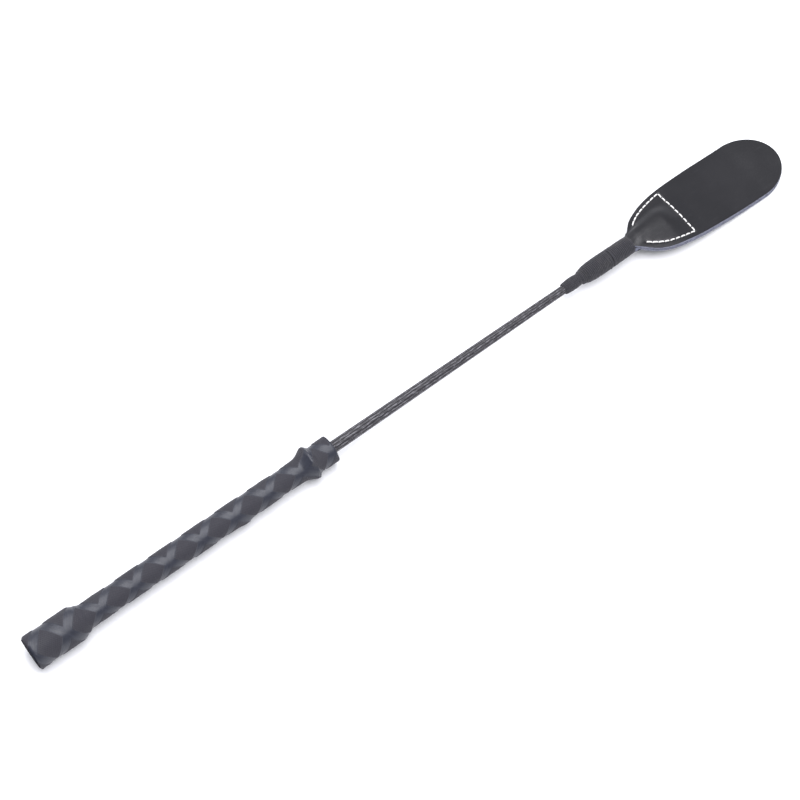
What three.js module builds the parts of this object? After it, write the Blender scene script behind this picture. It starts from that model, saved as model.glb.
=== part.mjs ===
// A short riding crop (jumping bat), in millimetres.
//
// A tapered fibreglass rod runs from the pommel to a pocket in the leather keeper. A nylon braid covers
// the rod. A wooden core, a pommel knob, a guard ring and a front collar give the handle its shape under
// one rubber sleeve. Two leathers make the keeper: their tails are whipped to the rod with thread, a
// three-sided seam closes the pocket round the rod's tip, and beyond the seam they are a free tongue.
//
// The crop is modelled along its own axis, x from the butt, and then laid on a table (z = 0): it rests on
// its pommel and on the swell over its guard ring, and its tongue droops until its end lies flat.

import * as THREE from "three";

// ---------------------------------------------------------------------------------- driving dimensions

const LENGTH = 575; // butt to the tongue's tip
const CLEARANCE = 0.3; // between pieces that touch

const ROUND_SIDES = 32; // facets round the handle's pieces
const SHAFT_SIDES = 20; // facets round the rod, its braid and the whippings

const sleeve = { end: 212.8, pommelRadius: 10.8, gripRadius: 7.8, neckRadius: 7.35, collarRadius: 8.75 };
const knob = { start: 0.5, end: 35.4, radius: 9.4, boreStart: 3.0 };
const core = { start: 35.7, end: 211.5, radius: 6.1, bore: 3.3, braidBore: 4.05, braidSeat: 194 };
const guard = { start: 191, crest: 197.2, end: 199.6, radius: 9.4 };
const collar = { start: 200, radius: 7.4 };
const rod = { start: 3.3, tip: 482, buttRadius: 3.0, taperStart: 190, tipRadius: 1.75 };
const braid = { start: 194.3, end: 478, buttRadius: 3.75, tipRadius: 2.24, wall: 0.32 };
const whipping = { start: 394.7, step: 407.8, join: 431.8, end: 449.7, bore: 5.5, radius: 6.45 };

const keeper = {
  tailStart: 412, // the tails' thinned ends, under the rear whipping
  tailHalfWidth: 2.55,
  flareStart: 449.9,
  flareLength: 13.6,
  halfWidth: 22.4,
  thickness: 2.6, // one leather
  pocketRadius: 2.85, // of the tunnel that the leathers make round the braid
  pocketEnd: 487,
  tentHalfWidth: 9.5, // of the swelling over the rod, where it is widest
  sideSag: 2.2, // of the leather on both sides of the rod, in front of the whipping
  sagEnd: 462,
  droopStart: 470,
  droopEnd: 553, // the tongue is flat on the table beyond here
  rodHoldEnd: 500, // the middle stays up on the rod, and has sunk to its sides' level here
  rodHoldHalfWidth: 16,
};
const seam = { start: 460.5, end: 489.3, inset: 3.2, threadRadius: 0.4 };
const flex = { x: 504, halfGap: 1.8 };

// ------------------------------------------------------------------------------------- small functions

const { smoothstep, lerp } = THREE.MathUtils;
const ramp = (x, x0, x1, y0, y1) => lerp(y0, y1, THREE.MathUtils.clamp((x - x0) / (x1 - x0), 0, 1));

// A piece turned about the crop's axis. The profile is a list of [x, radius], with x rising outside.
function turned(profile, sides) {
  const points = profile.map(([x, radius]) => new THREE.Vector2(radius, x));
  return new THREE.LatheGeometry(points, sides).rotateZ(-Math.PI / 2);
}

// The same, for a tube: an outer profile, then the bore's profile back to where it began.
function turnedTube(outside, bore, sides) {
  const closed = [...outside, ...bore.toReversed(), outside[0]];
  return turned(closed, sides);
}

// A closed solid between two grids of points, upper(i, j) and lower(i, j), which share no point.
function slab(rows, columns, upper, lower) {
  const positions = [];
  const quad = (a, b, c, d) => positions.push(...[a, b, c, a, c, d].flatMap((p) => p.toArray()));
  for (let i = 0; i < rows; i += 1) {
    for (let j = 0; j < columns; j += 1) {
      quad(upper(i, j), upper(i + 1, j), upper(i + 1, j + 1), upper(i, j + 1));
      quad(lower(i, j), lower(i, j + 1), lower(i + 1, j + 1), lower(i + 1, j));
    }
    quad(lower(i, 0), lower(i + 1, 0), upper(i + 1, 0), upper(i, 0));
    quad(upper(i, columns), upper(i + 1, columns), lower(i + 1, columns), lower(i, columns));
  }
  for (let j = 0; j < columns; j += 1) {
    quad(upper(0, j), upper(0, j + 1), lower(0, j + 1), lower(0, j));
    quad(upper(rows, j + 1), upper(rows, j), lower(rows, j), lower(rows, j + 1));
  }
  return new THREE.BufferGeometry().setAttribute(
    "position",
    new THREE.Float32BufferAttribute(positions, 3),
  );
}

// ------------------------------------------------------------------------------------------- the handle

const rodRadius = (x) => ramp(x, rod.taperStart, rod.tip, rod.buttRadius, rod.tipRadius);
const braidRadius = (x) => ramp(x, braid.start, braid.end, braid.buttRadius, braid.tipRadius);

function rodGeometry() {
  return turned(
    [
      [rod.start, 0],
      [rod.start, rod.buttRadius],
      [rod.taperStart, rod.buttRadius],
      [rod.tip - 1.5, rodRadius(rod.tip - 1.5)],
      [rod.tip, rod.tipRadius * 0.6],
      [rod.tip, 0],
    ],
    SHAFT_SIDES,
  );
}

function braidGeometry() {
  const stations = [braid.start, whipping.start, braid.end];
  const outside = stations.map((x) => [x, braidRadius(x)]);
  const bore = stations.map((x) => [x, Math.max(rodRadius(x) + 0.2, braidRadius(x) - braid.wall * 2)]);
  return turnedTube(outside, bore, SHAFT_SIDES);
}

// A plug with a blind bore for the rod and a rounded front shoulder.
function knobGeometry() {
  return turned(
    [
      [knob.start, 0],
      [knob.start, knob.radius - 0.5],
      [knob.start + 0.5, knob.radius],
      [29.6, knob.radius],
      [31.6, knob.radius - 0.4],
      [33.6, knob.radius - 1.3],
      [knob.end, knob.radius - 2.6],
      [knob.end, core.bore],
      [knob.boreStart, core.bore],
      [knob.boreStart, 0],
    ],
    ROUND_SIDES,
  );
}

// A tube whose bore opens out in front, where the braid begins on the rod.
function coreGeometry() {
  return turnedTube(
    [
      [core.start, core.radius],
      [core.end, core.radius],
    ],
    [
      [core.start, core.bore],
      [core.braidSeat, core.bore],
      [core.braidSeat, core.braidBore],
      [core.end, core.braidBore],
    ],
    ROUND_SIDES,
  );
}

// A ring with a long rear slope and a steep front one.
function guardGeometry() {
  const bore = core.radius + CLEARANCE;
  return turnedTube(
    [
      [guard.start, bore + 0.35],
      [guard.crest - 0.5, guard.radius],
      [guard.crest + 0.4, guard.radius],
      [guard.end, collar.radius + 0.2],
    ],
    [
      [guard.start, bore],
      [guard.end, bore],
    ],
    ROUND_SIDES,
  );
}

function collarGeometry() {
  const bore = core.radius + CLEARANCE;
  return turnedTube(
    [
      [collar.start, collar.radius],
      [core.end, collar.radius],
    ],
    [
      [collar.start, bore],
      [core.end, bore],
    ],
    ROUND_SIDES,
  );
}

// One rubber tube shrunk over the knob, the core, the ring and the collar, and cut off square at each end.
function sleeveGeometry() {
  const { pommelRadius, gripRadius, neckRadius, collarRadius } = sleeve;
  const outside = [
    [0, pommelRadius - 0.7],
    [0.35, pommelRadius - 0.25],
    [1, pommelRadius],
    [29.5, pommelRadius],
    [31.2, pommelRadius - 0.2],
    [32.8, pommelRadius - 0.65],
    [34.8, pommelRadius - 1.5],
    [36.8, gripRadius + 0.45],
    [39.3, gripRadius],
    [140, gripRadius - 0.05],
    [178, neckRadius],
    [187, neckRadius],
    [190, 7.7],
    [192.4, 8.6],
    [194.8, 9.9],
    [196.6, 10.65],
    [guard.crest, pommelRadius],
    [197.9, 10.6],
    [199, 9.6],
    [200.2, 8.85],
    [202, 8.6],
    [208, collarRadius],
    [sleeve.end - 0.4, collarRadius],
    [sleeve.end, collarRadius - 0.3],
  ];
  const coreBore = core.radius + CLEARANCE;
  const bore = [
    [0, knob.radius + CLEARANCE],
    [29.8, knob.radius + CLEARANCE],
    [31.8, 9.3],
    [33.9, 8.4],
    [36, 6.9],
    [36.8, coreBore],
    [190, coreBore],
    [190.6, 6.95],
    [196.6, 9.75],
    [197.8, 9.75],
    [199.9, 7.95],
    [200.2, collar.radius + CLEARANCE],
    [sleeve.end, collar.radius + CLEARANCE],
  ];
  return turnedTube(outside, bore, ROUND_SIDES);
}

// ---------------------------------------------------------------------------------------- the whippings

// Thread wound on the braid alone, behind the keeper's tails.
function leadWhippingGeometry() {
  const end = whipping.step - 0.2;
  const bore = braidRadius(whipping.start) + 0.2;
  return turnedTube(
    [
      [whipping.start, bore + 0.55],
      [whipping.start + 1.2, bore + 0.85],
      [end - 3, bore + 1.15],
      [end, bore + 0.9],
    ],
    [
      [whipping.start, bore],
      [end, bore],
    ],
    SHAFT_SIDES,
  );
}

// Thread wound up over the thinned ends of the tails.
function rearWhippingGeometry() {
  const start = whipping.step + 0.2;
  const braidBore = braidRadius(whipping.start) + 0.2;
  return turnedTube(
    [
      [start, 4.3],
      [410, 4.9],
      [413.5, 5.65],
      [418, 6.25],
      [422, whipping.radius],
      [whipping.join - 0.2, whipping.radius - 0.05],
    ],
    [
      [start, braidBore],
      [keeper.tailStart - 0.4, braidBore],
      [keeper.tailStart - 0.4, 4.15],
      [420, whipping.bore],
      [whipping.join - 0.2, whipping.bore],
    ],
    SHAFT_SIDES,
  );
}

// Thread wound on over the tails, up to the keeper's shoulders.
function frontWhippingGeometry() {
  const start = whipping.join + 0.2;
  return turnedTube(
    [
      [start, whipping.radius - 0.05],
      [whipping.end - 8, whipping.radius - 0.2],
      [whipping.end - 0.6, whipping.radius - 0.4],
      [whipping.end, whipping.radius - 0.6],
    ],
    [
      [start, whipping.bore],
      [whipping.end, whipping.bore],
    ],
    SHAFT_SIDES,
  );
}

// ------------------------------------------------------------------------------------------- the keeper

// Half the keeper's width: narrow tails, a flare at the shoulders, and a round tip.
function halfWidth(x) {
  const pastShoulder = Math.max(0, x - keeper.flareStart);
  const flare = Math.exp(-pastShoulder / keeper.flareLength);
  const straight = lerp(keeper.halfWidth, keeper.tailHalfWidth, flare);
  const roundStart = LENGTH - keeper.halfWidth;
  const inRound = Math.max(0, x - roundStart);
  return straight * Math.sqrt(Math.max(0, 1 - (inRound / keeper.halfWidth) ** 2));
}

const leatherThickness = (x) => ramp(x, keeper.tailStart, keeper.tailStart + 8, 1, keeper.thickness - 0.2)
  + ramp(x, whipping.end, whipping.end + 6, 0, 0.2);

// How far a leather's inner face is lifted from the keeper's middle plane by the rod and its braid.
function pocketLift(x, y) {
  const radius = keeper.pocketRadius;
  const tunnel = Math.sqrt(Math.max(0, radius * radius - y * y));
  const tentWidth = ramp(x, whipping.end, whipping.end + 20, 4.5, keeper.tentHalfWidth);
  const tent = radius * Math.max(0, 1 - (y / tentWidth) ** 2) ** 2;
  const opened = smoothstep(x, whipping.end - 1, whipping.end + 3);
  const closed = smoothstep(x, rod.tip - 4, keeper.pocketEnd);
  return lerp(tunnel, tent, opened) * (1 - closed);
}

// How high the keeper's middle surface is above the crop's axis: it sinks until the tongue lies on the
// table, but the rod holds the middle up as far as its tip.
function middleHeight(x, y) {
  const fullDroop = sleeve.pommelRadius - CLEARANCE / 2 - keeper.thickness;
  const sag = keeper.sideSag * smoothstep(x, whipping.end, keeper.sagEnd);
  const droop = sag + (fullDroop - keeper.sideSag) * smoothstep(x, keeper.droopStart, keeper.droopEnd);
  const held = 1 - smoothstep(x, rod.tip - 4, keeper.rodHoldEnd);
  const bell = 1 - smoothstep(Math.abs(y), keeper.pocketRadius, keeper.rodHoldHalfWidth);
  return -droop * (1 - held * bell);
}

// A point of a leather: side is +1 for the top one, depth 0 on its inner face and 1 on its outer face.
function leatherPoint(x, y, side, depth) {
  const innerFace = (at) => middleHeight(x, at) + side * (CLEARANCE / 2 + pocketLift(x, at));
  const step = 0.05;
  const slope = (innerFace(y + step) - innerFace(y - step)) / (2 * step);
  const away = (side * depth * leatherThickness(x)) / Math.hypot(1, slope);
  return new THREE.Vector3(x, y - slope * away, innerFace(y) + away);
}

// A stretch of one leather, with its rows closer together on the round tip.
function leatherGeometry(side, stations, columns) {
  const point = (i, j, depth) => {
    const x = stations[i];
    const y = (1 - (2 * j) / columns) * halfWidth(x);
    return leatherPoint(x, y, side, depth);
  };
  const outer = (i, j) => point(i, j, 1);
  const inner = (i, j) => point(i, j, 0);
  const rows = stations.length - 1;
  return side > 0 ? slab(rows, columns, inner, outer) : slab(rows, columns, outer, inner);
}

const spaced = (from, to, count) => Array.from({ length: count + 1 }, (_, i) => lerp(from, to, i / count));

const rootStations = [
  ...spaced(keeper.tailStart, whipping.end - 1, 5),
  ...spaced(whipping.end, 462, 6),
  ...spaced(465, flex.x - flex.halfGap, 11),
];

const tipAngles = spaced(0, THREE.MathUtils.degToRad(86), 8);
const tongueStations = [
  ...spaced(flex.x + flex.halfGap, LENGTH - keeper.halfWidth - 4, 9),
  ...tipAngles.map((angle) => LENGTH - keeper.halfWidth * (1 - Math.sin(angle))),
];

// One thread laid on a face of the keeper: up one shoulder, across the pocket's end, and back down.
function seamGeometry(side) {
  const lifted = (x, y) => {
    const face = leatherPoint(x, y, side, 1);
    face.z += side * (CLEARANCE + seam.threadRadius);
    return face;
  };
  const edge = (x) => halfWidth(x) - seam.inset;
  const shoulder = spaced(seam.start, seam.end - 1, 7);
  const across = spaced(edge(seam.end) - 1, 1 - edge(seam.end), 8);
  const points = [
    ...shoulder.map((x) => lifted(x, edge(x))),
    ...across.map((y) => lifted(seam.end, y)),
    ...shoulder.toReversed().map((x) => lifted(x, -edge(x))),
  ];
  const path = new THREE.CatmullRomCurve3(points, false, "centripetal");
  const section = new THREE.Shape().absarc(0, 0, seam.threadRadius, 0, 2 * Math.PI, false);
  return new THREE.ExtrudeGeometry(section, {
    steps: 44,
    curveSegments: 6,
    bevelEnabled: false,
    extrudePath: path,
  });
}

// ----------------------------------------------------------------------------------- materials and parts

const material = (color, roughness, metalness = 0) =>
  new THREE.MeshStandardMaterial({ color, roughness, metalness });

const rubber = material(0x35363c, 0.55);
const fibreglass = material(0x3a3a38, 0.3);
const nylon = material(0x36353a, 0.5);
const wood = material(0x9a7850, 0.7);
const plastic = material(0x1c1c1e, 0.5);
const leather = material(0x2a292c, 0.45);
const blackThread = material(0x2b2b30, 0.75);
const whiteThread = material(0xe8e6e0, 0.7);

const crop = new THREE.Group();

function add(name, geometry, surface) {
  const mesh = new THREE.Mesh(geometry, surface);
  mesh.name = name;
  crop.add(mesh);
}

add("fibreglass_rod", rodGeometry(), fibreglass);
add("shaft_braid", braidGeometry(), nylon);
add("pommel_knob", knobGeometry(), plastic);
add("grip_core", coreGeometry(), wood);
add("guard_ring", guardGeometry(), plastic);
add("front_collar", collarGeometry(), plastic);
add("grip_sleeve", sleeveGeometry(), rubber);
add("whipping_lead", leadWhippingGeometry(), blackThread);
add("whipping_rear", rearWhippingGeometry(), blackThread);
add("whipping_front", frontWhippingGeometry(), blackThread);
for (const [name, side] of [["top", 1], ["bottom", -1]]) {
  add(`keeper_${name}_root`, leatherGeometry(side, rootStations, 10), leather);
  add(`keeper_${name}_tongue`, leatherGeometry(side, tongueStations, 8), leather);
}
add("needle_thread", seamGeometry(1), whiteThread);
add("bobbin_thread", seamGeometry(-1), whiteThread);

// ------------------------------------------------------------------------------- laid down on the table

const extent = new THREE.Box3().setFromObject(crop, true);
crop.position.set(-(extent.min.x + extent.max.x) / 2, 0, -extent.min.z);

export default crop;
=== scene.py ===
import math
import random

import bmesh
import bpy
import numpy as np
from mathutils import Matrix, Vector


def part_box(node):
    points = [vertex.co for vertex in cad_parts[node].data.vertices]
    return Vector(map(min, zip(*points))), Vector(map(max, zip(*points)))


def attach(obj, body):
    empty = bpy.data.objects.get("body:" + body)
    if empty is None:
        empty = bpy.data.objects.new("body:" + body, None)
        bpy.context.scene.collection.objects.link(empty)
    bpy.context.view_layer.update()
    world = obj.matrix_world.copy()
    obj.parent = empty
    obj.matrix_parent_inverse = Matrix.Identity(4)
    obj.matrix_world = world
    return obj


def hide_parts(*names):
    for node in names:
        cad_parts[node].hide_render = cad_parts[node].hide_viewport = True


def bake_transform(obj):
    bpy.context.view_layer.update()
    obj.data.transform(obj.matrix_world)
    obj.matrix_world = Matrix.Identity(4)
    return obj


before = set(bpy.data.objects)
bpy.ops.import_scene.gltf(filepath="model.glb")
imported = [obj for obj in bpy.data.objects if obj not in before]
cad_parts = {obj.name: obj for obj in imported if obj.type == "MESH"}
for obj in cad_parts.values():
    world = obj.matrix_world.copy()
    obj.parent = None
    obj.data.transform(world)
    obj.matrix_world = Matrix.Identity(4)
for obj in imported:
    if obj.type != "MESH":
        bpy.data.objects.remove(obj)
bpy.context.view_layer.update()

# A short riding crop, lying on a table. Distances along it are in millimetres from its butt, and heights and
# widths are in millimetres from its axis. to_frame() turns them into the frame's metres.

MM = 0.001

sleeve_low, sleeve_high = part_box("grip_sleeve")
keeper_low, keeper_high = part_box("keeper_top_tongue")
BUTT = sleeve_low.x
AXIS_HEIGHT = (sleeve_low.z + sleeve_high.z) / 2


def along(x):
    """Millimetres from the butt of a place on the frame's x axis, in metres."""
    return (x - BUTT) / MM


SLEEVE_END = along(sleeve_high.x)
TIP = along(keeper_high.x)
AXIS_ABOVE_TABLE = AXIS_HEIGHT / MM

# ------------------------------------------------------------------------------------------ dimensions, mm

DIAMOND_PITCH = 23.45  # along the sleeve, from one diamond to the next in a row
DIAMOND_START = 11.4
DIAMOND_TURN = math.radians(33)  # of the first row, from the top towards -y
LATTICE = 120  # points round the sleeve, and rows of them in a pitch, so that the mesh follows the bands
RAISED_CELLS = 21  # of the LATTICE / 2 cells in a pitch, from a diamond's centre to its edge
DIAMOND_HALF = (2 * RAISED_CELLS + 1) / LATTICE
WEAVE_RIDGES = 18  # in a diamond's pitch
RELIEF = 0.32
RING_CREST = 196.7
RING_CREASE = 198.4
RING_CROWDING = 0.2
POMMEL_CREASE = 33.4
BLISTER_X = 146.0
BLISTER_TURN = math.radians(112)
FLASH_X = 0.9  # the moulding flash left on the rear lip
FLASH_TURN = math.radians(118)
RIM_ROUNDING = 2.4

BRAID_COLUMNS = 12
BRAID_TURN = math.radians(20)
BRAID_PITCH = 1.7
BRAID_RELIEF = 0.34
BRAID_LEVEL = 0.42  # of the relief, how much is below the CAD cover's face
BRAID_LEAN = 0.85  # of a stitch's pitch, across its column
BRAID_SIDES = 9 * BRAID_COLUMNS
BRAID_STEP = 0.26

THREAD_RADIUS = 0.56
WHIPPING_PITCH = 1.16
LEAD_THREAD_RADIUS = 0.42
LEAD_PITCH = 0.8
LEAD_TUCKED = 0.9  # of its last turns, under the rear whipping
POINTS_A_TURN = 36
UNEVENNESS = 0.05
PLIES = 3
PLY_TWIST = 2.4  # radians a millimetre
TUCK_X = 427.4
TUCK_LENGTH = 3.0
TUCK_START = -35.0  # degrees round
TUCK_SWEEP = 175.0

LEATHER_THICKNESS = 2.6
LEATHER_GAP = 0.26  # between the two leathers
LEATHER_EDGE_RADIUS = 0.45
TAIL_HALF_WIDTH = 2.55
FLARE_LENGTH = 13.6
SPREAD = 1.8  # of the tails where the whipping lets them go
HAND_CUT = 0.12  # how far the outline strays to one side near the tip
SHOULDER_CUT = -0.4  # and to the other side by the seam
TIP_SPREAD = 0.45  # of the outline's half width near the tip
TIP_LENGTH = 27.5  # of the elliptical end
TIP_PROUD = 1.3  # past the CAD solid's round end
POCKET_RADIUS = 2.85
POCKET_END = 490.0
TENT_START = 6.0
TENT_HALF_WIDTH = 12.0
SLACK_HALF_WIDTH = 18.5  # both leathers stand up in a gentle slope on the -y side of the rod
SLACK_FROM = 4.0
SLACK_SAG = 0.15  # of the sag on the other side
SLACK_START = 478.0  # where the two sides begin to lie alike again
SLACK_END = 500.0
ROD_TIP = along(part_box("fibreglass_rod")[1].x)
WHIPPING_END = along(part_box("whipping_front")[1].x)
KEEPER_HALF_WIDTH = (keeper_high.y - keeper_low.y) / 2 / MM
SIDE_SAG = 2.2
SAG_END = 462.0
DROOP_START = 470.0
DROOP_END = 553.0
ROD_HOLD_END = 500.0
ROD_HOLD_HALF_WIDTH = 16.0

SEAM_START = 459.4
SEAM_FINISH = 457.2
SEAM_CROSS = 489.3
SEAM_INSET_START = 4.3
SEAM_INSET_CORNER = 3.1
STITCH_PITCH = 4.0
STITCH_GAP = 1.0
BACKSTITCH_GAP = 0.3
STITCH_LIFT = 0.26
BACKSTITCH_LIFT = 0.4
STITCH_RADIUS = 0.53
STITCH_TWIST = 2.2


# ----------------------------------------------------------------------------------------- mesh and curves


def clamp01(t):
    return np.clip(t, 0.0, 1.0)


def smoothstep(x, low, high):
    t = clamp01((x - low) / (high - low))
    return t * t * (3 - 2 * t)


def bell(x, centre, width):
    return np.exp(-(((x - centre) / width) ** 2))


def waviness(seed, terms, longest, shortest):
    """A smooth random function of (x, y), from about -1 to 1, as a sum of sine waves."""
    rng = random.Random(seed)
    waves = []
    for _ in range(terms):
        length = math.exp(rng.uniform(math.log(shortest), math.log(longest)))
        heading = rng.uniform(0, 2 * math.pi)
        phase = rng.uniform(0, 2 * math.pi)
        waves.append((math.cos(heading) / length, math.sin(heading) / length, phase))

    def value(x, y):
        total = sum(np.sin(2 * math.pi * (kx * x + ky * y) + phase) for kx, ky, phase in waves)
        return total / math.sqrt(terms)

    return value


def new_piece(name, points, faces, materials, smooth=True):
    mesh = bpy.data.meshes.new(name)
    mesh.from_pydata([tuple(p) for p in points], [], [tuple(f) for f in faces])
    mesh.update()
    for material in materials:
        mesh.materials.append(material)
    if smooth:
        mesh.polygons.foreach_set("use_smooth", [True] * len(mesh.polygons))
    piece = bpy.data.objects.new(name, mesh)
    bpy.context.scene.collection.objects.link(piece)
    return piece


def grid_faces(rows, columns, wrap_columns=False):
    """Quads over a grid of rows x columns points. Wrapped columns join up with their start."""
    starts = columns if wrap_columns else columns - 1
    i, j = np.meshgrid(np.arange(rows - 1), np.arange(starts), indexing="ij")
    i, j = i.ravel(), j.ravel()
    next_j = (j + 1) % columns
    corners = [i * columns + j, i * columns + next_j, (i + 1) * columns + next_j, (i + 1) * columns + j]
    return np.stack(corners, axis=1)


def write_uv(piece, corner_uv):
    layer = piece.data.uv_layers.new(name="surface")
    layer.data.foreach_set("uv", np.asarray(corner_uv, np.float32).ravel())


def around(sides):
    """Angles all the way round the axis."""
    return np.arange(sides) / sides * 2 * math.pi


def turned(x, radius, angle):
    """Points at a radius from the axis, with the angle from the top towards -y."""
    return np.stack([x, -radius * np.sin(angle), radius * np.cos(angle)], axis=-1)


def to_frame(points):
    """Points in the frame's metres, as one flat list."""
    points = np.asarray(points, float)
    origin = np.array([BUTT, 0.0, AXIS_HEIGHT])
    return points.reshape(-1, 3) * MM + origin


def profile_of(node, outside=True):
    """The [x, radius] points of a turned CAD node's outside, or of its bore, in millimetres."""
    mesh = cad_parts[node].data
    found = set()
    for polygon in mesh.polygons:
        centre = polygon.center
        outward = Vector((0, centre.y, centre.z - AXIS_HEIGHT))
        facing = polygon.normal.dot(outward.normalized()) if outward.length > 1e-6 else 0
        if (facing > 0.05) if outside else (facing < -0.05):
            for index in polygon.vertices:
                co = mesh.vertices[index].co
                r = math.hypot(co.y, co.z - AXIS_HEIGHT) / MM
                found.add((round(along(co.x), 2), round(r, 2)))
    return np.array(sorted(found))


def smooth_profile(profile, blur):
    """A function of x through the profile's points, with corners rounded over about blur millimetres."""
    step = 0.1
    xs = np.arange(profile[0, 0], profile[-1, 0] + step / 2, step)
    rs = np.interp(xs, profile[:, 0], profile[:, 1])
    reach = int(3 * blur / step)
    kernel = np.exp(-((np.arange(-reach, reach + 1) * step / blur) ** 2))
    padded = np.concatenate([np.full(reach, rs[0]), rs, np.full(reach, rs[-1])])
    rounded = np.convolve(padded, kernel / kernel.sum(), mode="valid")
    return lambda x: np.interp(x, xs, rounded)


def swept_tube(path, radius, sides, lobes, lobe_depth, twist, taper=0.0):
    """Points and faces of a closed tube along a path. A ply's lobes turn round it by twist a millimetre."""
    path = np.asarray(path, float)
    steps = np.linalg.norm(np.diff(path, axis=0), axis=1)
    run = np.concatenate([[0], np.cumsum(steps)])
    tangent = np.gradient(path, axis=0)
    tangent /= np.linalg.norm(tangent, axis=1, keepdims=True)
    normal = np.zeros_like(path)
    start = np.array([0.0, 0.0, 1.0]) if abs(tangent[0, 2]) < 0.9 else np.array([0.0, 1.0, 0.0])
    normal[0] = start - tangent[0] * (start @ tangent[0])
    normal[0] /= np.linalg.norm(normal[0])
    for i in range(1, len(path)):
        carried = normal[i - 1] - tangent[i] * (normal[i - 1] @ tangent[i])
        normal[i] = carried / np.linalg.norm(carried)
    across = np.cross(tangent, normal)
    turn = around(sides)[None, :] + 0 * run[:, None]
    r = radius * (1 - lobe_depth * (0.5 - 0.5 * np.cos(lobes * (turn - twist * run[:, None]))))
    if taper:
        end = np.minimum(run, run[-1] - run)
        r = r * np.sqrt(clamp01(end / taper) * 0.9 + 0.1)[:, None]
    points = (
        path[:, None, :]
        + normal[:, None, :] * (r * np.cos(turn))[..., None]
        + across[:, None, :] * (r * np.sin(turn))[..., None]
    )
    faces = [tuple(f) for f in grid_faces(len(path), sides, wrap_columns=True)]
    last = (len(path) - 1) * sides
    faces.append(tuple(range(sides)))
    faces.append(tuple(last + k for k in reversed(range(sides))))
    return points.reshape(-1, 3), faces


def joined(parts):
    """One list of points and one of faces from several."""
    points, faces, start = [], [], 0
    for part_points, part_faces in parts:
        points.append(part_points)
        faces += [tuple(start + k for k in face) for face in part_faces]
        start += len(part_points)
    return np.concatenate(points), faces


def turn_outwards(piece, merge=0.0):
    """Merges points that are closer than merge, fills open rims, and turns every face outwards."""
    made = bmesh.new()
    made.from_mesh(piece.data)
    if merge:
        bmesh.ops.remove_doubles(made, verts=made.verts, dist=merge)
        rim = [edge for edge in made.edges if edge.is_boundary]
        bmesh.ops.holes_fill(made, edges=rim, sides=0)
    bmesh.ops.recalc_face_normals(made, faces=made.faces)
    made.to_mesh(piece.data)
    made.free()
    piece.data.update()


# ------------------------------------------------------------------------------------------------ materials


class Shader:
    """A material's node tree, with a short method for each kind of node that the materials use."""

    def __init__(self, name, **surface):
        self.material = bpy.data.materials.new(name)
        self.material.use_nodes = True
        self.tree = self.material.node_tree
        self.tree.nodes.clear()
        output = self.tree.nodes.new("ShaderNodeOutputMaterial")
        self.surface = self.tree.nodes.new("ShaderNodeBsdfPrincipled")
        self.tree.links.new(self.surface.outputs[0], output.inputs["Surface"])
        for socket, value in surface.items():
            self.surface.inputs[socket.replace("_", " ")].default_value = value

    def node(self, kind, inputs=None, **settings):
        made = self.tree.nodes.new("ShaderNode" + kind)
        for key, value in settings.items():
            setattr(made, key, value)
        for key, value in (inputs or {}).items():
            self.feed(made.inputs[key], value)
        return made

    def feed(self, socket, value):
        if isinstance(value, bpy.types.NodeSocket):
            self.tree.links.new(value, socket)
        else:
            socket.default_value = value

    def math(self, operation, a, b=0.0):
        return self.node("Math", {0: a, 1: b}, operation=operation).outputs[0]

    def object_space(self):
        return self.node("TexCoord").outputs["Object"]

    def uv(self):
        separated = self.node("SeparateXYZ", {0: self.node("UVMap", uv_map="surface").outputs[0]})
        return separated.outputs[0], separated.outputs[1]

    def vector(self, x, y, z=0.0):
        return self.node("CombineXYZ", {0: x, 1: y, 2: z}).outputs[0]

    def scaled(self, vector, scale):
        return self.node("VectorMath", {0: vector, 1: scale}, operation="MULTIPLY").outputs[0]

    def noise(self, vector, scale, detail=4.0, roughness=0.55):
        inputs = {"Vector": vector, "Scale": scale, "Detail": detail, "Roughness": roughness}
        return self.node("TexNoise", inputs).outputs[0]

    def cells(self, vector, scale):
        return self.node("TexVoronoi", {"Vector": vector, "Scale": scale}).outputs["Distance"]

    def remap(self, value, low, high, to_low=0.0, to_high=1.0):
        inputs = {0: value, 1: low, 2: high, 3: to_low, 4: to_high}
        return self.node("MapRange", inputs, interpolation_type="SMOOTHSTEP").outputs[0]

    def mix(self, factor, a, b):
        made = self.node("Mix", data_type="RGBA")
        colours = [s for s in made.inputs if s.type == "RGBA"]
        self.feed(made.inputs[0], factor)
        for socket, value in zip(colours, (a, b)):
            self.feed(socket, value if isinstance(value, bpy.types.NodeSocket) else (*value, 1.0))
        return next(s for s in made.outputs if s.type == "RGBA")

    def blend(self, factor, a, b):
        """a where the factor is 0, b where it is 1, for plain numbers."""
        made = self.node("Mix", data_type="FLOAT")
        for socket, value in zip([s for s in made.inputs if s.type == "VALUE"][:3], (factor, a, b)):
            self.feed(socket, value)
        return next(s for s in made.outputs if s.type == "VALUE")

    def bump(self, height, depth_mm, normal=None):
        made = self.node("Bump", {"Height": height, "Distance": depth_mm * MM, "Strength": 1.0})
        if normal is not None:
            self.feed(made.inputs["Normal"], normal)
        return made.outputs[0]

    def finish(self, **sockets):
        for key, value in sockets.items():
            self.feed(self.surface.inputs[key.replace("_", " ")], value)
        return self.material


def per_mm(count):
    """The scale of a texture on object space, which is in metres, for so many features a millimetre."""
    return count / MM


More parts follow.
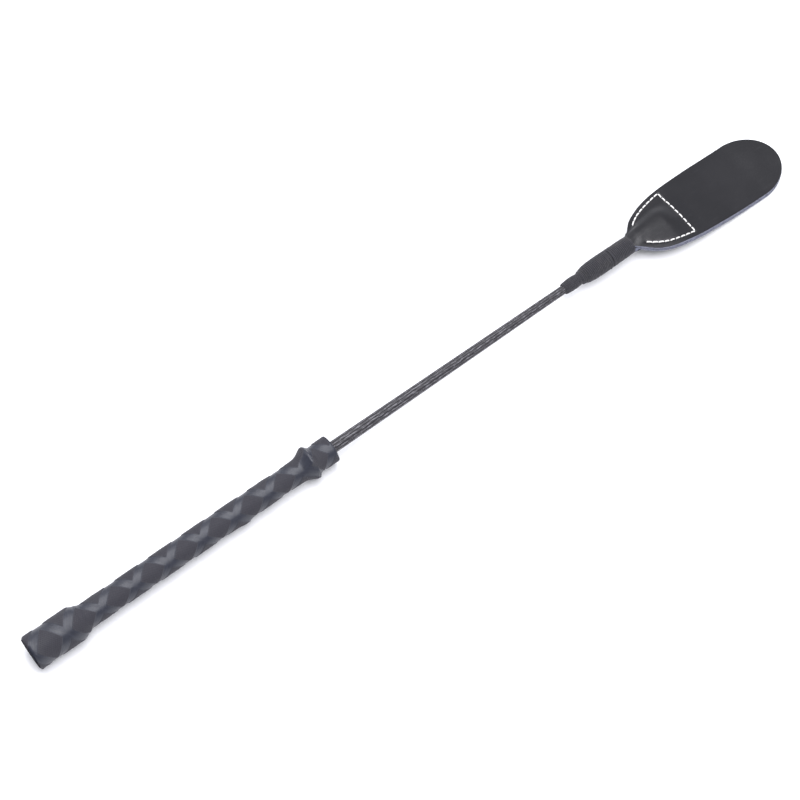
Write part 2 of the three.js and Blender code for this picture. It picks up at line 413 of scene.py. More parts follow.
def rubber_material():
    """Matte woven diamonds standing between smooth satin bands, on the sleeve's own (a, b) diamond grid."""
    s = Shader("sleeve_rubber")
    a, b = s.uv()
    from_a = s.math("PINGPONG", a, 0.5)
    from_b = s.math("PINGPONG", b, 0.5)
    out = s.math("MAXIMUM", from_a, from_b)
    raised = s.remap(out, DIAMOND_HALF + 0.012, DIAMOND_HALF - 0.012)
    rim = s.math("MULTIPLY", raised, s.remap(out, DIAMOND_HALF - 0.05, DIAMOND_HALF - 0.01))
    space = s.object_space()
    ridges = 2 * math.pi * WEAVE_RIDGES
    warp = s.noise(space, per_mm(0.25), 2.0)
    wobble = s.math("MULTIPLY", warp, 1.6)
    waft = s.math("SINE", s.math("ADD", s.math("MULTIPLY", a, ridges), wobble))
    weft = s.math("SINE", s.math("ADD", s.math("MULTIPLY", b, ridges), wobble))
    weave = s.math("MULTIPLY", s.math("ADD", waft, weft), 0.5)
    on_a_band = s.remap(s.math("SUBTRACT", from_a, from_b), -0.05, 0.05)
    fine, long = 34.0, 2.2
    along_b = s.noise(s.vector(s.math("MULTIPLY", a, fine), s.math("MULTIPLY", b, long)), 1.0, 3.0)
    along_a = s.noise(s.vector(s.math("MULTIPLY", b, fine), s.math("MULTIPLY", a, long), 7.0), 1.0, 3.0)
    streaks = s.blend(on_a_band, along_a, along_b)
    blotch = s.noise(space, per_mm(0.06), 4.0)
    grit = s.noise(space, per_mm(3.2), 3.0, 0.7)
    band = s.mix(s.remap(streaks, 0.3, 0.7), (0.013, 0.0145, 0.0235), (0.019, 0.0215, 0.034))
    diamond = s.mix(s.remap(weave, -0.9, 0.9), (0.0195, 0.0185, 0.0255), (0.0235, 0.0225, 0.0305))
    dusty = s.mix(s.math("MULTIPLY", s.remap(blotch, 0.45, 0.75), 0.3), diamond, (0.045, 0.045, 0.05))
    worn = s.mix(s.math("MULTIPLY", rim, 0.25), dusty, (0.05, 0.052, 0.062))
    colour = s.mix(raised, band, worn)
    band_rough = s.remap(streaks, 0.3, 0.75, 0.35, 0.47)
    rough = s.blend(raised, band_rough, s.remap(grit, 0.3, 0.7, 0.66, 0.84))
    normal = s.bump(grit, 0.05)
    normal = s.bump(s.math("MULTIPLY", weave, raised), 0.06, normal)
    flow = s.math("MULTIPLY", streaks, s.math("SUBTRACT", 1.0, raised))
    normal = s.bump(flow, 0.12, normal)
    return s.finish(Base_Color=colour, Roughness=rough, Normal=normal)


def nylon_material():
    """Bright and dull filaments of a tight braid, with painted highlights in dashes along it and painted
    shade in the grooves between its columns. Its UV is (millimetres along, columns round).
    """
    s = Shader("shaft_nylon")
    x, column = s.uv()
    side = s.math("PINGPONG", column, 1.0)
    slant = s.math("ADD", x, s.math("MULTIPLY", side, 1.2))
    filaments = s.noise(s.vector(s.math("MULTIPLY", slant, 0.4), s.math("MULTIPLY", column, 9.0)), 1.0, 3.0)
    patches = s.noise(s.vector(s.math("MULTIPLY", x, 0.35), s.math("MULTIPLY", column, 0.8)), 1.0, 3.0, 0.6)
    out = s.math("PINGPONG", s.math("ADD", column, 0.5), 0.5)
    groove = s.remap(out, 0.26, 0.46)
    # Painted highlights: the bright dashes along the braid stand in for glints of the light on its ribs.
    painted_glint_dashes = s.noise(s.vector(s.math("MULTIPLY", x, 0.22), s.math("MULTIPLY", column, 2.6), 5.0), 1.0, 2.0)
    plain = s.mix(s.remap(filaments, 0.35, 0.7), (0.018, 0.0165, 0.02), (0.045, 0.042, 0.049))
    lit = s.mix(s.math("MULTIPLY", s.remap(painted_glint_dashes, 0.5, 0.62), 0.85), plain, (0.165, 0.16, 0.175))
    warm = s.mix(s.math("MULTIPLY", s.remap(patches, 0.5, 0.75), 0.4), lit, (0.075, 0.064, 0.066))
    # Painted shade: the grooves between the columns are darkened in the colour; their higher roughness is
    # real.
    colour = s.mix(s.math("MULTIPLY", groove, 0.9), warm, (0.006, 0.006, 0.007))
    rough = s.blend(groove, s.remap(filaments, 0.3, 0.7, 0.34, 0.54), 0.95)
    normal = s.bump(filaments, 0.05)
    return s.finish(Base_Color=colour, Roughness=rough, Normal=normal)


def leather_material():
    """Smooth dyed grain: fine pebble, pores and faint hand marks."""
    s = Shader("leather_grain", Specular_IOR_Level=0.5)
    space = s.object_space()
    pebble = s.cells(space, per_mm(1.5))
    fine = s.noise(space, per_mm(2.6), 5.0, 0.6)
    broad = s.noise(space, per_mm(0.035), 4.0, 0.55)
    scuffs = s.noise(s.scaled(space, (per_mm(0.06), per_mm(0.5), per_mm(0.5))), 1.0, 5.0, 0.65)
    base = s.mix(s.remap(broad, 0.3, 0.7), (0.0085, 0.0082, 0.0098), (0.0108, 0.0103, 0.0122))
    pored = s.mix(s.remap(pebble, 0.0, 0.16, 0.35, 0.0), base, (0.006, 0.006, 0.007))
    colour = s.mix(s.math("MULTIPLY", s.remap(scuffs, 0.6, 0.78), 0.2), pored, (0.035, 0.034, 0.04))
    rough = s.math("ADD", s.remap(broad, 0.3, 0.7, 0.29, 0.33), s.remap(scuffs, 0.55, 0.8, 0.0, 0.08))
    normal = s.bump(pebble, 0.035)
    normal = s.bump(fine, 0.04, normal)
    return s.finish(Base_Color=colour, Roughness=rough, Normal=normal)


def cut_edge_material():
    """The raw cut edge of a dyed leather: pale blue-grey fibres where the dye is thin."""
    s = Shader("leather_cut_edge", Roughness=0.88)
    space = s.object_space()
    fibres = s.noise(s.scaled(space, (per_mm(0.7), per_mm(0.7), per_mm(3.4))), 1.0, 5.0, 0.65)
    clumps = s.noise(space, per_mm(0.5), 4.0, 0.6)
    pale = s.mix(s.remap(fibres, 0.3, 0.7), (0.11, 0.116, 0.155), (0.24, 0.25, 0.32))
    colour = s.mix(s.remap(clumps, 0.52, 0.72), pale, (0.07, 0.073, 0.1))
    normal = s.bump(fibres, 0.22)
    return s.finish(Base_Color=colour, Normal=normal)


def flesh_material():
    """The napped inner side of a leather."""
    s = Shader("leather_flesh", Roughness=0.95, Sheen_Weight=0.2)
    space = s.object_space()
    nap = s.noise(space, per_mm(1.6), 6.0, 0.7)
    colour = s.mix(s.remap(nap, 0.3, 0.7), (0.03, 0.029, 0.031), (0.07, 0.068, 0.07))
    return s.finish(Base_Color=colour, Normal=s.bump(nap, 0.25))


def thread_material(name, dark, light, stain, stain_amount, fuzz):
    """Twisted thread: fine filaments along it, and a little dirt."""
    s = Shader(name, Roughness=0.78, Sheen_Weight=fuzz, Sheen_Roughness=0.5)
    space = s.object_space()
    filaments = s.noise(space, per_mm(3.5), 4.0, 0.65)
    dirt = s.noise(space, per_mm(0.12), 3.0, 0.6)
    colour = s.mix(s.remap(filaments, 0.3, 0.7), dark, light)
    dirty = s.mix(s.math("MULTIPLY", s.remap(dirt, 0.5, 0.75), stain_amount), colour, stain)
    return s.finish(Base_Color=dirty, Normal=s.bump(filaments, 0.09))


def plastic_material():
    """Moulded black plastic with a fine eroded texture."""
    s = Shader("knob_plastic")
    space = s.object_space()
    eroded = s.noise(space, per_mm(2.4), 5.0, 0.7)
    broad = s.noise(space, per_mm(0.08), 3.0)
    colour = s.mix(s.remap(broad, 0.3, 0.7), (0.014, 0.014, 0.016), (0.028, 0.028, 0.031))
    rough = s.remap(eroded, 0.3, 0.7, 0.45, 0.62)
    return s.finish(Base_Color=colour, Roughness=rough, Normal=s.bump(eroded, 0.06))


def wood_material():
    """Turned hardwood, stained dark, with its grain along the handle."""
    s = Shader("core_wood")
    space = s.object_space()
    grain = s.noise(s.scaled(space, (per_mm(0.02), per_mm(0.9), per_mm(0.9))), 1.0, 6.0, 0.6)
    pores = s.noise(s.scaled(space, (per_mm(0.2), per_mm(4.0), per_mm(4.0))), 1.0, 3.0, 0.6)
    colour = s.mix(s.remap(grain, 0.3, 0.7), (0.035, 0.024, 0.017), (0.075, 0.052, 0.036))
    pored = s.mix(s.remap(pores, 0.62, 0.72, 0.0, 0.5), colour, (0.018, 0.012, 0.008))
    rough = s.remap(grain, 0.3, 0.7, 0.55, 0.75)
    return s.finish(Base_Color=pored, Roughness=rough, Normal=s.bump(pores, 0.08))


def fibreglass_material():
    """A pultruded rod: glass fibres along it under satin resin."""
    s = Shader("rod_fibreglass", Coat_Weight=0.3, Coat_Roughness=0.25)
    space = s.object_space()
    fibres = s.noise(s.scaled(space, (per_mm(0.03), per_mm(5.0), per_mm(5.0))), 1.0, 5.0, 0.6)
    colour = s.mix(s.remap(fibres, 0.3, 0.7), (0.03, 0.03, 0.028), (0.1, 0.1, 0.09))
    rough = s.remap(fibres, 0.3, 0.7, 0.3, 0.45)
    return s.finish(Base_Color=colour, Roughness=rough, Normal=s.bump(fibres, 0.03))


def table_material():
    s = Shader("table_white", Roughness=0.9)
    mottle = s.noise(s.object_space(), 3.0, 2.0)
    return s.finish(Base_Color=s.mix(mottle, (0.965, 0.965, 0.965), (0.98, 0.98, 0.98)))


RUBBER = rubber_material()
NYLON = nylon_material()
LEATHER = leather_material()
CUT_EDGE = cut_edge_material()
FLESH = flesh_material()
PLASTIC = plastic_material()
BLACK_THREAD = thread_material(
    "whipping_thread", (0.011, 0.0105, 0.0135), (0.034, 0.033, 0.041), (0.07, 0.063, 0.06), 0.3, 0.1
)
WHITE_THREAD = thread_material(
    "seam_thread", (0.72, 0.71, 0.68), (0.9, 0.89, 0.87), (0.5, 0.45, 0.4), 0.25, 0.3
)

# ---------------------------------------------------------------------------------------------- grip sleeve

sleeve_radius = smooth_profile(profile_of("grip_sleeve"), 0.45)
sleeve_bore = profile_of("grip_sleeve", outside=False)
grip_waves = waviness(3, 14, 40.0, 6.0)
ring_waves = waviness(8, 10, 9.0, 2.0)


def pitches(x):
    """How many diamonds there are up to x. The rows crowd together behind the ring, and spread over it."""
    return (x - DIAMOND_START) / DIAMOND_PITCH - RING_CROWDING * bell(x, RING_CREST, 5.5)


def diamond_grid(x, angle):
    """The sleeve's (a, b) coordinates: each diamond is centred where both are whole numbers."""
    u = pitches(x)
    v = (angle - DIAMOND_TURN) / math.pi
    return u + v, u - v


def sleeve_relief(x, angle):
    """How far the sleeve's face stands out from its smooth profile, with its moulding's small faults."""
    a, b = diamond_grid(x, angle)
    out = np.maximum(np.abs(a - np.round(a)), np.abs(b - np.round(b)))
    raised = 1 - smoothstep(out, DIAMOND_HALF - 1 / LATTICE, DIAMOND_HALF + 1 / LATTICE)
    crown = 0.06 * (1 - (out / DIAMOND_HALF) ** 2) * raised
    hollow = -0.08 * (1 - raised) * smoothstep(out, DIAMOND_HALF, 0.5)
    arc = sleeve_radius(x) * np.abs((angle + math.pi) % (2 * math.pi) - math.pi)
    waves = 0.05 * grip_waves(x, arc)
    blister = 0.85 * bell(x, BLISTER_X, 4.6) * bell(angle, BLISTER_TURN, 0.42)
    flash = 0.55 * bell(x, FLASH_X, 1.0) * bell(angle, FLASH_TURN, 0.12)
    crest = 0.5 * bell(x, RING_CREST, 1.3) * (0.5 + 0.5 * np.cos(angle))
    crest -= 0.4 * bell(x, RING_CREST + 0.2, 0.5)
    wrinkle = 0.16 * ring_waves(x * 1.6, arc * 0.45) * bell(x, RING_CREST + 0.9, 2.6)
    crease = -0.22 * bell(x, RING_CREASE, 0.45) * (0.6 + 0.4 * np.sin(2 * angle + 0.7))
    crease -= 0.3 * bell(x, POMMEL_CREASE, 0.9)
    return RELIEF * (raised - 0.5) + crown + hollow + waves + blister + flash + crest + wrinkle + crease


def sleeve_face(x, angle):
    """The outside radius, rounded over at the butt's rim."""
    rim = np.maximum(0, RIM_ROUNDING - x)
    rounded = RIM_ROUNDING - np.sqrt(np.maximum(0, RIM_ROUNDING**2 - rim**2))
    return sleeve_radius(x) - 0.7 * rounded + sleeve_relief(x, angle)


def lattice_faces(rows, columns):
    """Diamond-shaped faces, as (row, column), over rows of which every other one is half a step round."""
    faces = []
    for i in range(rows - 1):
        odd = i % 2
        for j in range(columns):
            left, right = (i + 1, j - 1 + odd), (i + 1, j + odd)
            if i + 2 < rows:
                faces.append([(i, j), right, (i + 2, j), left])
            else:
                faces.append([(i, j), right, left, left])
            if i == 0:
                faces.append([(0, j), (0, j + 1), right, right])
    return np.array(faces)


def make_sleeve():
    """The outside with its diamonds, the cut ends, and the bore, as one closed wall."""
    first = 2 * math.ceil(pitches(0.05) * LATTICE / 2)
    last = 2 * math.floor(pitches(SLEEVE_END - 0.05) * LATTICE / 2)
    finely = np.linspace(0, SLEEVE_END, 4000)
    outer = np.interp(np.arange(first, last + 1) / LATTICE, pitches(finely), finely)
    turn = 2 * math.pi / LATTICE
    x, column = np.meshgrid(outer, np.arange(LATTICE), indexing="ij")
    angle = (column + 0.5 * (np.arange(len(outer)) % 2)[:, None]) * turn
    outside = turned(x, sleeve_face(x, angle), angle)
    front = [(SLEEVE_END, float(sleeve_radius(SLEEVE_END)) - inset) for inset in (0.35, 0.7)]
    bore = [tuple(p) for p in sleeve_bore[::-1]]
    back = np.array(front + bore + [(0.0, sleeve_bore[0, 1] + 0.3)])
    inside = turned(np.repeat(back[:, :1], LATTICE, axis=1), back[:, 1:], around(LATTICE))
    woven = lattice_faces(len(outer), LATTICE)
    i, j = np.meshgrid(np.arange(len(outer) - 1, len(outer) + len(back)), np.arange(LATTICE), indexing="ij")
    i, j = i.ravel(), j.ravel()
    corners = [(i, j), (i, j + 1), (i + 1, j + 1), (i + 1, j)]
    plain = np.stack([np.stack(corner, axis=-1) for corner in corners], axis=1)
    faces = np.concatenate([woven, plain])
    rows = len(outer) + len(back)
    index = (faces[..., 0] % rows) * LATTICE + faces[..., 1] % LATTICE
    station = np.concatenate([outer, back[:, 0]])[faces[..., 0] % rows]
    half_turn = np.where(faces[..., 0] < len(outer), 0.5 * (faces[..., 0] % 2), 0)
    a, b = diamond_grid(station, (faces[..., 1] + half_turn) * turn)
    polygons = [tuple(dict.fromkeys(face)) for face in index.tolist()]
    piece = new_piece("grip_sleeve_skin", to_frame(np.concatenate([outside, inside])), polygons, [RUBBER])
    sizes = np.array([len(polygon) for polygon in polygons])
    kept = np.arange(4)[None, :] < sizes[:, None]
    write_uv(piece, np.stack([a, b], axis=-1)[kept])
    turn_outwards(piece)
    return piece


# ----------------------------------------------------------------------------------------------- butt plug


def make_plug():
    """The moulded knob: its rear face is dished, with a raised ring and a gate mark."""
    low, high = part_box("pommel_knob")
    rear, front = along(low.x), along(high.x)
    r = (high.y - low.y) / 2 / MM
    section = [
        (rear + 0.75, 0.0), (rear + 0.75, 0.9), (rear + 0.45, 1.3), (rear + 0.6, 1.8),  # the gate mark
        (rear + 0.62, 4.4), (rear + 0.2, 4.9), (rear + 0.12, 5.5), (rear + 0.5, 6.0),  # the raised ring
        (rear + 0.4, r - 1.8), (rear + 0.05, r - 1.2), (rear, r - 0.7), (rear + 0.08, r - 0.3),  # the rim
        (rear + 0.45, r), (front - 5.5, r), (front - 2.5, r - 1.0), (front, r - 2.8), (front, 0.0),
    ]
    sides = 96
    stations = np.array(section)
    points = turned(np.repeat(stations[:, :1], sides, axis=1), stations[:, 1:], around(sides))
    faces = grid_faces(len(section), sides, wrap_columns=True)
    piece = new_piece("pommel_plug", to_frame(points), faces, [PLASTIC])
    turn_outwards(piece, merge=1e-7)
    return piece


# ------------------------------------------------------------------------------------------------- the braid

braid_radius = smooth_profile(profile_of("shaft_braid"), 0.5)


def braid_relief(x, angle):
    """Slanted stitches in columns along the rod, each column leaning the other way from its neighbours."""
    column = (angle + BRAID_TURN) / (2 * math.pi) * BRAID_COLUMNS
    index = np.floor(column)
    t = column - index - 0.5
    lean = np.where(index % 2 == 0, 1.0, -1.0)
    step = x / BRAID_PITCH + lean * t * BRAID_LEAN + 0.5 * (index % 2) + 0.13 * np.sin(index * 2.4)
    within = np.abs(step - np.round(step)) * 2
    stitch = np.sqrt(clamp01(1 - within**2))
    crown = np.sqrt(clamp01(1 - (1.75 * t) ** 2))
    return BRAID_RELIEF * (stitch * crown - BRAID_LEVEL)


def make_braid():
    low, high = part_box("shaft_braid")
    start, end = along(low.x), along(high.x)
    shown_start, shown_end = SLEEVE_END - 3, along(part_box("whipping_lead")[0].x) + 3
    stations = np.concatenate(
        [
            np.linspace(start, shown_start, 12)[:-1],
            np.arange(shown_start, shown_end, BRAID_STEP),
            np.linspace(shown_end, end, 40),
        ]
    )
    x, angle = np.meshgrid(stations, around(BRAID_SIDES), indexing="ij")
    points = turned(x, braid_radius(x) + braid_relief(x, angle), angle)
    corners = grid_faces(len(stations), BRAID_SIDES, wrap_columns=True)
    last = (len(stations) - 1) * BRAID_SIDES
    rims = [tuple(reversed(range(BRAID_SIDES))), tuple(last + k for k in range(BRAID_SIDES))]
    faces = [tuple(face) for face in corners] + rims
    piece = new_piece("shaft_braid_weave", to_frame(points), faces, [NYLON])
    row, column = corners // BRAID_SIDES, corners % BRAID_SIDES
    closing = (column == 0) & (column.max(axis=1, keepdims=True) == BRAID_SIDES - 1)
    column = np.where(closing, BRAID_SIDES, column)
    round_it = column / BRAID_SIDES + BRAID_TURN / (2 * math.pi)
    uv = np.stack([stations[row], round_it * BRAID_COLUMNS], axis=-1).reshape(-1, 2)
    write_uv(piece, np.concatenate([uv, np.zeros((2 * BRAID_SIDES, 2))]))
    return piece


# -------------------------------------------------------------------------------------------- the whippings


def whipping_swell(x):
    """How far the thread stands out where it passes over the ends of the leathers and the rod's binding."""
    return 0.4 * bell(x, 400.5, 5.0) + 0.25 * bell(x, 413.5, 5.5)


def whipping_turns(node, seed, thread, pitch, tucked):
    """The path of a thread wound side by side over a whipping, with a level turn at each end.

    Its front end may be tucked some millimetres under the next whipping.
    """
    outside = profile_of(node)
    radius = smooth_profile(outside, 0.5)
    start, end = outside[0, 0] + thread, outside[-1, 0] - thread + tucked
    turns = (end - start) / pitch
    rng = random.Random(seed)
    jitter = [rng.uniform(-1, 1) for _ in range(int(turns) + 4)]
    t = np.linspace(-1, turns + 1, int((turns + 2) * POINTS_A_TURN))
    uneven = np.interp(t + 1, np.arange(len(jitter)), jitter)
    wound = clamp01(t / turns)
    x = start + (end - start) * wound + UNEVENNESS * uneven * np.sin(np.pi * wound)
    swell = whipping_swell(x)
    path = turned(x, radius(x) - thread + UNEVENNESS * uneven + swell, 2 * math.pi * t + seed)
    path[:, 2] += 0.6 * swell
    return path


def make_whipping(node, seed, thread, pitch, tucked):
    path = whipping_turns(node, seed, thread, pitch, tucked)
    points, faces = swept_tube(path, thread * 1.04, 10, PLIES, 0.08, PLY_TWIST)
    return new_piece(f"{node}_thread", to_frame(points), faces, [BLACK_THREAD])


def make_tuck():
    """The thread's end, laid aslant over the turns and pulled under the next one."""
    radius = smooth_profile(profile_of("whipping_rear"), 0.5)
    t = np.linspace(0, 1, 60)
    x = TUCK_X + TUCK_LENGTH * t
    sink = np.maximum(bell(t, 0, 0.08), bell(t, 1, 0.08))
    path = turned(x, radius(x) - 0.1 - sink, np.radians(TUCK_START + TUCK_SWEEP * t))
    points, faces = swept_tube(path, THREAD_RADIUS * 0.7, 10, PLIES, 0.16, PLY_TWIST)
    return new_piece("whipping_tuck", to_frame(points), faces, [BLACK_THREAD])


# ------------------------------------------------------------------------------------------------ the keeper


def half_width(x):
    past = np.maximum(0, x - WHIPPING_END - 0.2)
    straight = KEEPER_HALF_WIDTH + (TAIL_HALF_WIDTH - KEEPER_HALF_WIDTH) * np.exp(-past / FLARE_LENGTH)
    return straight + SPREAD * bell(x, WHIPPING_END + 0.2, 3.0) + TIP_SPREAD * smoothstep(x, 495, 525)


def thickness(x):
    tail = 1 + (LEATHER_THICKNESS - 1.2) * clamp01((x - 412) / 8)
    return tail + 0.2 * clamp01((x - WHIPPING_END) / 6)


def tent_height(x, y):
    """How far a leather's inner face is held off the rod's axis, where the rod raises it in a ridge."""
    spread = TENT_HALF_WIDTH - TENT_START
    width = TENT_START + spread * clamp01((x - WHIPPING_END) / 25)
    return POCKET_RADIUS * np.maximum(0, 1 - (y / width) ** 2) ** 2


def let_go(x):
    """0 under the whipping, 1 in the pocket and 0 again past the rod's tip."""
    opened = smoothstep(x, WHIPPING_END - 5, WHIPPING_END - 0.5)
    return opened, 1 - smoothstep(x, ROD_TIP - 6, POCKET_END)


def pocket_lift(x, y):
    """How far a leather's inner face is lifted by the rod and its braid."""
    tunnel = np.sqrt(np.maximum(0, POCKET_RADIUS**2 - y**2))
    opened, still_open = let_go(x)
    return (tunnel + (tent_height(x, y) - tunnel) * opened) * still_open


def slack(x, y):
    """How far both leathers stand up together beside the rod, on the -y side."""
    slope = POCKET_RADIUS * (1 + y / SLACK_HALF_WIDTH)
    gentle = (slope + np.sqrt(slope**2 + 0.1)) / 2
    beside = smoothstep(-y, 0, SLACK_FROM)
    opened, still_open = let_go(x)
    return np.maximum(0, gentle - tent_height(x, y)) * beside * opened * still_open


def middle_height(x, y):
    """How high the keeper's middle surface is above the axis: at its end the tongue lies on the table."""
    full = AXIS_ABOVE_TABLE - 0.15 - LEATHER_THICKNESS
    slack_side = smoothstep(-y, 0, TENT_HALF_WIDTH) * (1 - smoothstep(x, SLACK_START, SLACK_END))
    side_sag = SIDE_SAG * (1 - (1 - SLACK_SAG) * slack_side)
    drooping = smoothstep(x, DROOP_START, DROOP_END)
    droop = side_sag * smoothstep(x, WHIPPING_END, SAG_END) * (1 - drooping) + full * drooping
    held = 1 - smoothstep(x, ROD_TIP - 4, ROD_HOLD_END)
    middle = 1 - smoothstep(np.abs(y), POCKET_RADIUS, ROD_HOLD_HALF_WIDTH)
    return slack(x, y) - droop * (1 - held * middle)


def leather_point(x, y, side, depth):
    """A point of a leather: side is 1 for the top one, and depth goes from 0 inside to 1 outside."""

    def inner(at):
        return middle_height(x, at) + side * (LEATHER_GAP / 2 + pocket_lift(x, at))

    step = 0.05
    slope = (inner(y + step) - inner(y - step)) / (2 * step)
    away = side * depth * thickness(x) / np.hypot(1, slope)
    return np.stack([x, y - slope * away, inner(y) + away], axis=-1)


def seam_route(spacing):
    """Points along the seam, in plan: up one shoulder, across past the rod's tip, and down the other."""

    def shoulder(start):
        xs = np.linspace(start, SEAM_CROSS, 60)
        inset = np.linspace(SEAM_INSET_START, SEAM_INSET_CORNER, len(xs))
        return np.stack([xs, half_width(xs) - inset], axis=1)

    rising = shoulder(SEAM_START)
    falling = shoulder(SEAM_FINISH)[::-1] * [1, -1]
    corner = rising[-1]
    across = np.stack([np.full(40, SEAM_CROSS), np.linspace(corner[1], -corner[1], 40)], axis=1)
    runs = []
    for run in (rising, across, falling):
        lengths = np.linalg.norm(np.diff(run, axis=0), axis=1)
        distance = np.concatenate([[0], np.cumsum(lengths)])
        count = max(1, round(distance[-1] / spacing))
        marks = np.linspace(0, distance[-1], count + 1)
        runs.append(np.stack([np.interp(marks, distance, run[:, k]) for k in (0, 1)], axis=1))
    return runs


SEAM_HOLES = np.concatenate(seam_route(STITCH_PITCH))
SEAM_LINE = np.concatenate(seam_route(0.5))
hide_waves = waviness(21, 16, 60.0, 14.0)
pucker_waves = waviness(5, 12, 9.0, 3.0)


def nearest(points, x, y):
    """The distance from each (x, y) to the nearest of the points."""
    best = np.full(np.shape(x), 1e9)
    for px, py in points:
        best = np.minimum(best, (x - px) ** 2 + (y - py) ** 2)
    return np.sqrt(best)


def leather_surface(x, y, side):
    """How far a leather's outer face stands off its plain shape: the seam's groove and holes, and waves."""
    groove = -0.2 * bell(nearest(SEAM_LINE, x, y), 0, 1.1)
    holes = -0.45 * bell(nearest(SEAM_HOLES, x, y), 0, 0.6)
    waves = 0.04 * hide_waves(x + 90 * side, y) * smoothstep(x, 452, 475)
    gather = 0.14 * pucker_waves(x * 0.35, y * 1.3 + 40 * side) * bell(x, 453, 9)
    return groove + holes + waves + gather


LEATHER_FACE_COLUMNS = 46
LEATHER_WALL_COLUMNS = 7
LEATHER_ROW_STEP = 0.72
LEATHER_TIP_ROWS = 90


def make_leather(name, side):
    """One leather, from its tail under the whipping to its round tip, as rows square to its outline."""
    centre = TIP + TIP_PROUD - TIP_LENGTH
    start = along(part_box("keeper_top_root")[0].x)
    hidden = np.linspace(start, WHIPPING_END, 24)[:-1]
    straight = np.concatenate([hidden, np.arange(WHIPPING_END, centre, LEATHER_ROW_STEP)])
    turn = np.linspace(0, math.pi, LEATHER_TIP_ROWS + 2)[1:-1]
    rise = half_width(centre)
    outline = np.concatenate(
        [
            np.stack([straight, half_width(straight)], axis=1),
            np.stack([centre + TIP_LENGTH * np.sin(turn), rise * np.cos(turn)], axis=1),
            np.stack([straight[::-1], -half_width(straight[::-1])], axis=1),
        ]
    )
    outline[:, 1] += HAND_CUT * smoothstep(outline[:, 0], SEAM_CROSS, centre)
    outline[:, 1] += SHOULDER_CUT * bell(outline[:, 0], 474, 18)
    spine = np.stack([np.minimum(outline[:, 0], centre), 0 * outline[:, 0]], axis=1)
    q = np.linspace(1, 0, LEATHER_FACE_COLUMNS) ** 2
    wall = np.linspace(0.86, 0.1, LEATHER_WALL_COLUMNS)
    inward = np.concatenate([q, 0 * wall, q[::-1]])
    level = np.concatenate([np.ones_like(q), wall, np.zeros_like(q)])
    plan = outline[:, None, :] + (spine - outline)[:, None, :] * inward[None, :, None]
    x, y = plan[..., 0], plan[..., 1]
    from_edge = inward[None, :] * np.linalg.norm(outline - spine, axis=1)[:, None]
    short = np.maximum(0, LEATHER_EDGE_RADIUS - from_edge)
    rounding = LEATHER_EDGE_RADIUS - np.sqrt(np.maximum(0, LEATHER_EDGE_RADIUS**2 - short**2))
    outer = len(q)
    depth = np.broadcast_to(level, x.shape).copy()
    depth[:, :outer] -= rounding[:, :outer] / LEATHER_THICKNESS
    depth[:, :outer] += leather_surface(x[:, :outer], y[:, :outer], side) / LEATHER_THICKNESS
    inner = outer + len(wall)
    depth[:, outer:inner] *= depth[:, outer - 1 : outer]
    points = leather_point(x, y, side, depth)
    fibres = waviness(31 + side, 20, 5.0, 1.2)
    fringe = 0.12 * fibres(np.arange(len(outline))[:, None] * 0.6, level[None, :] * 4)
    away = (outline - spine) / np.linalg.norm(outline - spine, axis=1, keepdims=True)
    on_wall = ((inward == 0) & (level < 1)).astype(float)
    points[..., :2] += away[:, None, :] * (fringe * on_wall[None, :])[..., None]
    rows, columns = x.shape
    faces = grid_faces(rows, columns)
    piece = new_piece(name, to_frame(points), faces, [LEATHER, CUT_EDGE, FLESH])
    column = faces[:, 0] % columns
    zone = np.where(column < outer - 2, 0, np.where(column < inner, 1, 2))
    piece.data.polygons.foreach_set("material_index", zone)
    turn_outwards(piece, merge=1e-7)
    return piece


# ---------------------------------------------------------------------------------------------- the stitches


def stitch_tube(start, end, side, lift):
    """A stitch between two holes, given in plan: it dives into the leather at both ends."""
    t = np.linspace(0, 1, 13)
    x = start[0] + (end[0] - start[0]) * t
    y = start[1] + (end[1] - start[1]) * t
    face = leather_point(x, y, side, np.ones_like(x))
    face[:, 2] += side * (lift - 0.75 * (np.abs(2 * t - 1) ** 4))
    return swept_tube(face, STITCH_RADIUS, 12, PLIES, 0.2, STITCH_TWIST, taper=0.5)


def make_stitches(name, side, seed):
    """Lockstitches along the seam, with the first and the last few drawn close by sewing back over them."""
    rng = random.Random(seed)
    parts = []
    for number, holes in enumerate(seam_route(STITCH_PITCH)):
        for k, (a, b) in enumerate(zip(holes[:-1], holes[1:])):
            way = (b - a) / np.linalg.norm(b - a)
            normal = np.array([-way[1], way[0]])
            nudge = normal * rng.uniform(-0.14, 0.14)
            backstitched = (number == 0 and k < 1) or (number == 2 and k > len(holes) - 5)
            gap = BACKSTITCH_GAP if backstitched else STITCH_GAP
            start = a + way * gap / 2 + nudge
            end = b - way * gap / 2 - nudge
            parts.append(stitch_tube(start, end, side, BACKSTITCH_LIFT if backstitched else STITCH_LIFT))
    points, faces = joined(parts)
    return new_piece(name, to_frame(points), faces, [WHITE_THREAD])


# --------------------------------------------------------------------------------------- putting it together


def settle(piece, body, slot, *nodes):
    """The piece rides on a body and stands for CAD nodes, which are hidden. The slot is not used."""
    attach(piece, body)
    if nodes:
        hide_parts(*nodes)


settle(make_sleeve(), "crop", "sleeve_rubber", "grip_sleeve")
settle(make_plug(), "crop", "knob_plastic", "pommel_knob")
settle(make_braid(), "crop", "shaft_nylon", "shaft_braid")
for node, seed, thread, pitch, tucked in (
    ("whipping_lead", 1, LEAD_THREAD_RADIUS, LEAD_PITCH, LEAD_TUCKED),
    ("whipping_rear", 2, THREAD_RADIUS, WHIPPING_PITCH, 0.0),
    ("whipping_front", 3, THREAD_RADIUS, WHIPPING_PITCH, 0.0),
):
    whipping = make_whipping(node, seed, thread, pitch, tucked)
    settle(whipping, "crop", "whipping_thread", node)
settle(make_tuck(), "crop", "whipping_thread")
settle(make_stitches("needle_stitches", 1, 11), "crop", "seam_thread", "needle_thread")
settle(make_stitches("bobbin_stitches", -1, 12), "crop", "seam_thread", "bobbin_thread")

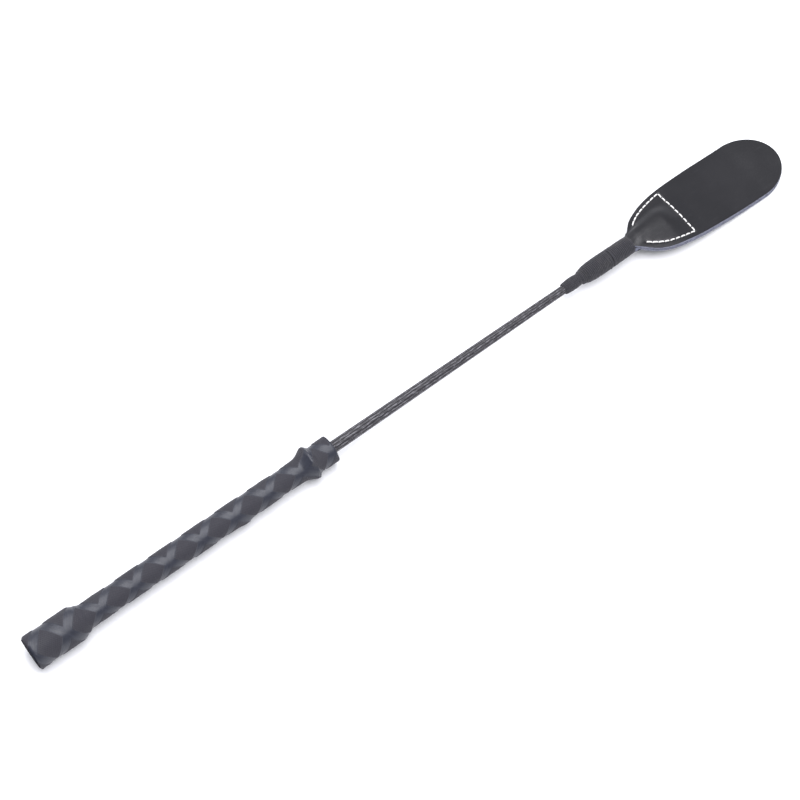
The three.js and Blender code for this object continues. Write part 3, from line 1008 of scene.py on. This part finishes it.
for level, side in (("top", 1), ("bottom", -1)):
    leather = make_leather(f"keeper_{level}_leather", side)
    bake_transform(leather)
    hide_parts(f"keeper_{level}_root", f"keeper_{level}_tongue")

for node, material in (
    ("fibreglass_rod", fibreglass_material()),
    ("grip_core", wood_material()),
    ("guard_ring", PLASTIC),
    ("front_collar", PLASTIC),
):
    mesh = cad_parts[node].data
    mesh.materials.clear()
    mesh.materials.append(material)

# ------------------------------------------------------------------------------- table, light and the camera

TABLE_HALF = 4.0
TABLE_Z = -0.0002
WORLD_STRENGTH = 0.64
WORLD_COLOUR = (0.9, 0.92, 1.0, 1.0)
LIGHT_COLOUR = (0.965, 0.965, 1.0)

VIEW_ELEVATION = math.radians(63.0)
VIEW_TURN = math.radians(37.5)  # the camera stands this far towards -x from straight in front
VIEW_LENS = 81.0
VIEW_DISTANCE = 1.1099
LOOK_AT = Vector((-0.01853, 0.00508, 0.0))


def make_table():
    corners = [(TABLE_HALF * x, TABLE_HALF * y, 0) for x, y in ((-1, -1), (1, -1), (1, 1), (-1, 1))]
    table = new_piece("table", corners, [(0, 1, 2, 3)], [table_material()], smooth=False)
    table.location.z = TABLE_Z


def soft_light(name, position, target, width, depth, power):
    data = bpy.data.lights.new(name, "AREA")
    data.color = LIGHT_COLOUR
    data.shape = "RECTANGLE"
    data.size = width
    data.size_y = depth
    data.energy = power
    light = bpy.data.objects.new(name, data)
    bpy.context.scene.collection.objects.link(light)
    light.location = position
    light.rotation_euler = (Vector(target) - Vector(position)).to_track_quat("-Z", "Y").to_euler()


def make_lights():
    soft_light("overhead", (0.12, 0.0, 1.55), (0, 0, 0), 2.2, 0.95, 42)
    soft_light("back_fill", (-0.2, 1.4, 1.0), (0, 0.1, 0), 1.6, 0.8, 6)
    world = bpy.data.worlds.new("studio")
    world.use_nodes = True
    background = world.node_tree.nodes["Background"]
    background.inputs["Color"].default_value = WORLD_COLOUR
    background.inputs["Strength"].default_value = WORLD_STRENGTH
    bpy.context.scene.world = world


def make_camera():
    right = Vector((math.cos(VIEW_TURN), -math.sin(VIEW_TURN), 0))
    ahead = Vector((math.sin(VIEW_TURN), math.cos(VIEW_TURN), 0))
    back = -ahead * math.cos(VIEW_ELEVATION) + Vector((0, 0, math.sin(VIEW_ELEVATION)))
    up = back.cross(right)
    data = bpy.data.cameras.new("camera")
    data.sensor_width = 36
    data.lens = VIEW_LENS
    data.clip_start = 0.01
    camera = bpy.data.objects.new("camera", data)
    bpy.context.scene.collection.objects.link(camera)
    turn = Matrix((right, up, back)).transposed().to_4x4()
    camera.matrix_world = Matrix.Translation(LOOK_AT + back * VIEW_DISTANCE) @ turn
    bpy.context.scene.camera = camera


make_table()
make_lights()
make_camera()
bpy.context.scene.view_settings.view_transform = "Standard"
